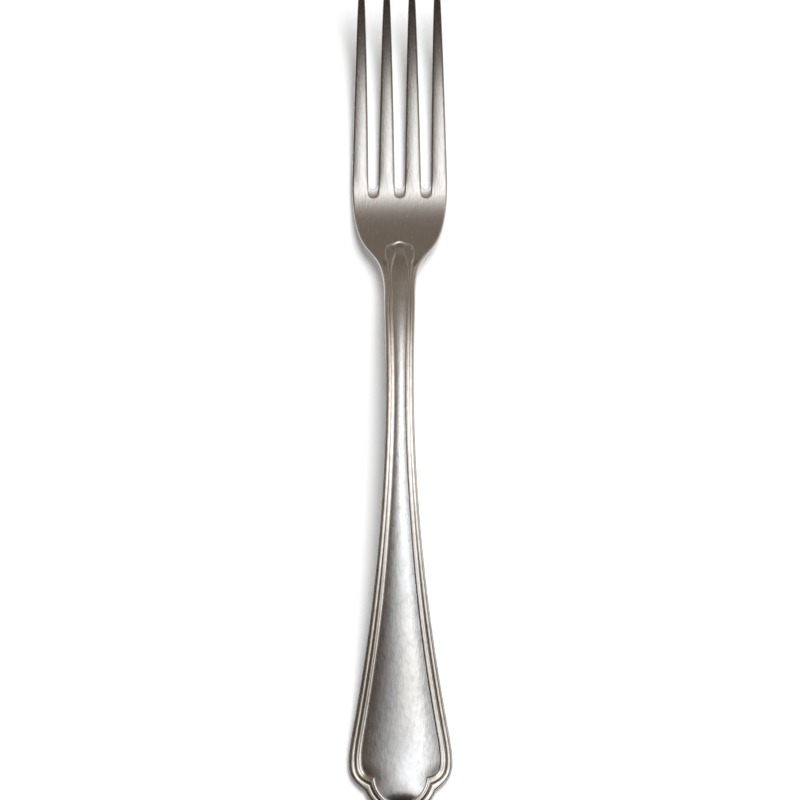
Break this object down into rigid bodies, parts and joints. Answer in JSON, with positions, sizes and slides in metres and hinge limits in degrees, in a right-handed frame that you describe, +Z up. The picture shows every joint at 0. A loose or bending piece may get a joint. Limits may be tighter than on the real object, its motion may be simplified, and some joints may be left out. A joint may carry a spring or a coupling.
{
  "type": "dessert fork",
  "caption": "Metal dessert fork with slender tapered tines, a dished palm and a double-threaded handle that widens to a shouldered, lobed end.",
  "frame": {"origin": "on the table under the middle of the fork's length and width", "axes": "+Y along the fork towards the tine tips, +Z up from the table, face up, +X to the right when seen from above with the tips away"},
  "size_m": [0.022, 0.175, 0.0123],
  "materials": {
    "tine_metal": "worn satin, fine lengthwise hairlines",
    "palm_metal": "worn satin, fine lengthwise hairlines",
    "neck_metal": "worn satin",
    "handle_metal": "worn satin with small dents"
  },
  "bodies": {
    "root": {"left_outer_tine": "tine_metal", "left_inner_tine": "tine_metal", "right_inner_tine": "tine_metal", "right_outer_tine": "tine_metal", "palm": "palm_metal", "neck": "neck_metal", "stem": "handle_metal", "handle": "handle_metal", "handle_end": "handle_metal"}
  },
  "joints": []
}
